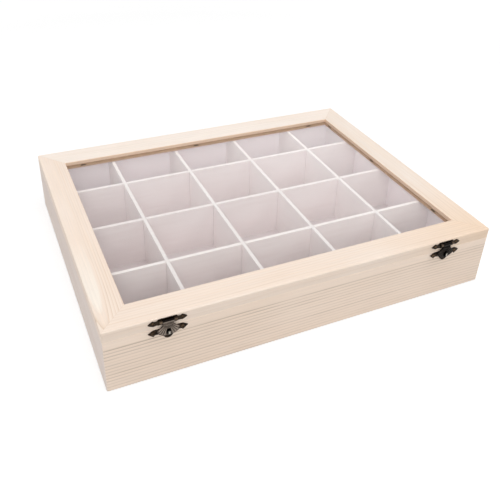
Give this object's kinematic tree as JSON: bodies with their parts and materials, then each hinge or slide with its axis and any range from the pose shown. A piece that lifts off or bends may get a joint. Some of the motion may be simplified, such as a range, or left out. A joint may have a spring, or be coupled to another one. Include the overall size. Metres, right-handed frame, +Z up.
{
  "type": "specimen display box",
  "caption": "Shallow mitred pine display box with a crossed grid of white dividers under a hinged, glazed lid held shut by two hooked hasps.",
  "frame": {"origin": "centre of the flat underside", "axes": "+X along the long front, towards its right end; +Y from the front with its hasps to the hinged back; +Z up"},
  "size_m": [0.35, 0.2886, 0.0585],
  "materials": {
    "pine": "sanded bare pine, smooth and matt, with fine straight grain",
    "bead_wood": "sanded pine strip, a little browner",
    "base_board": "thin board, white on its upper face",
    "white_board": "white satin paint",
    "glass": "clear, polished",
    "dark_bronze": "dark antiqued bronze plate, worn brighter on raised edges",
    "shell_bronze": "antiqued grey bronze with brighter ribs",
    "bright_hook": "rubbed bright metal",
    "staple_steel": "dull dark steel wire"
  },
  "bodies": {
    "box": {"front_wall": "pine", "right_wall": "pine", "back_wall": "pine", "left_wall": "pine", "base_panel": "base_board", "cross_divider_1": "white_board", "cross_divider_2": "white_board", "cross_divider_3": "white_board", "cross_divider_4": "white_board", "long_divider_1": "white_board", "long_divider_2": "white_board", "long_divider_3": "white_board", "hasp_box_screws": "dark_bronze", "hinge_box_screws": "dark_bronze", "left_hinge_box_leaf": "dark_bronze", "left_hinge_pin": "dark_bronze", "left_catch_plate": "dark_bronze", "left_catch_hook": "bright_hook", "right_hinge_box_leaf": "dark_bronze", "right_hinge_pin": "dark_bronze", "right_catch_plate": "dark_bronze", "right_catch_hook": "bright_hook"},
    "lid": {"front_rail": "pine", "right_rail": "pine", "back_rail": "pine", "left_rail": "pine", "glass_pane": "glass", "front_bead": "bead_wood", "right_bead": "bead_wood", "back_bead": "bead_wood", "left_bead": "bead_wood", "bead_staples": "staple_steel", "hasp_lid_screws": "dark_bronze", "hinge_lid_screws": "dark_bronze", "left_hinge_lid_leaf": "dark_bronze", "left_hasp_plate": "dark_bronze", "left_hasp_pin": "dark_bronze", "right_hinge_lid_leaf": "dark_bronze", "right_hasp_plate": "dark_bronze", "right_hasp_pin": "dark_bronze"},
    "left_flap": {"left_hasp_flap": "shell_bronze"},
    "right_flap": {"right_hasp_flap": "shell_bronze"}
  },
  "joints": [
    {"name": "lid_hinge", "type": "hinge", "parent": "box", "child": "lid", "pos_m": [0, 0.1424, 0.049], "axis": [-1, 0, 0], "range_deg": [0, 170]},
    {"name": "left_flap_hinge", "type": "hinge", "parent": "lid", "child": "left_flap", "pos_m": [-0.1263, -0.14275, 0.0556], "axis": [-1, 0, 0], "range_deg": [0, 160]},
    {"name": "right_flap_hinge", "type": "hinge", "parent": "lid", "child": "right_flap", "pos_m": [0.1263, -0.14275, 0.0556], "axis": [-1, 0, 0], "range_deg": [0, 160]}
  ]
}
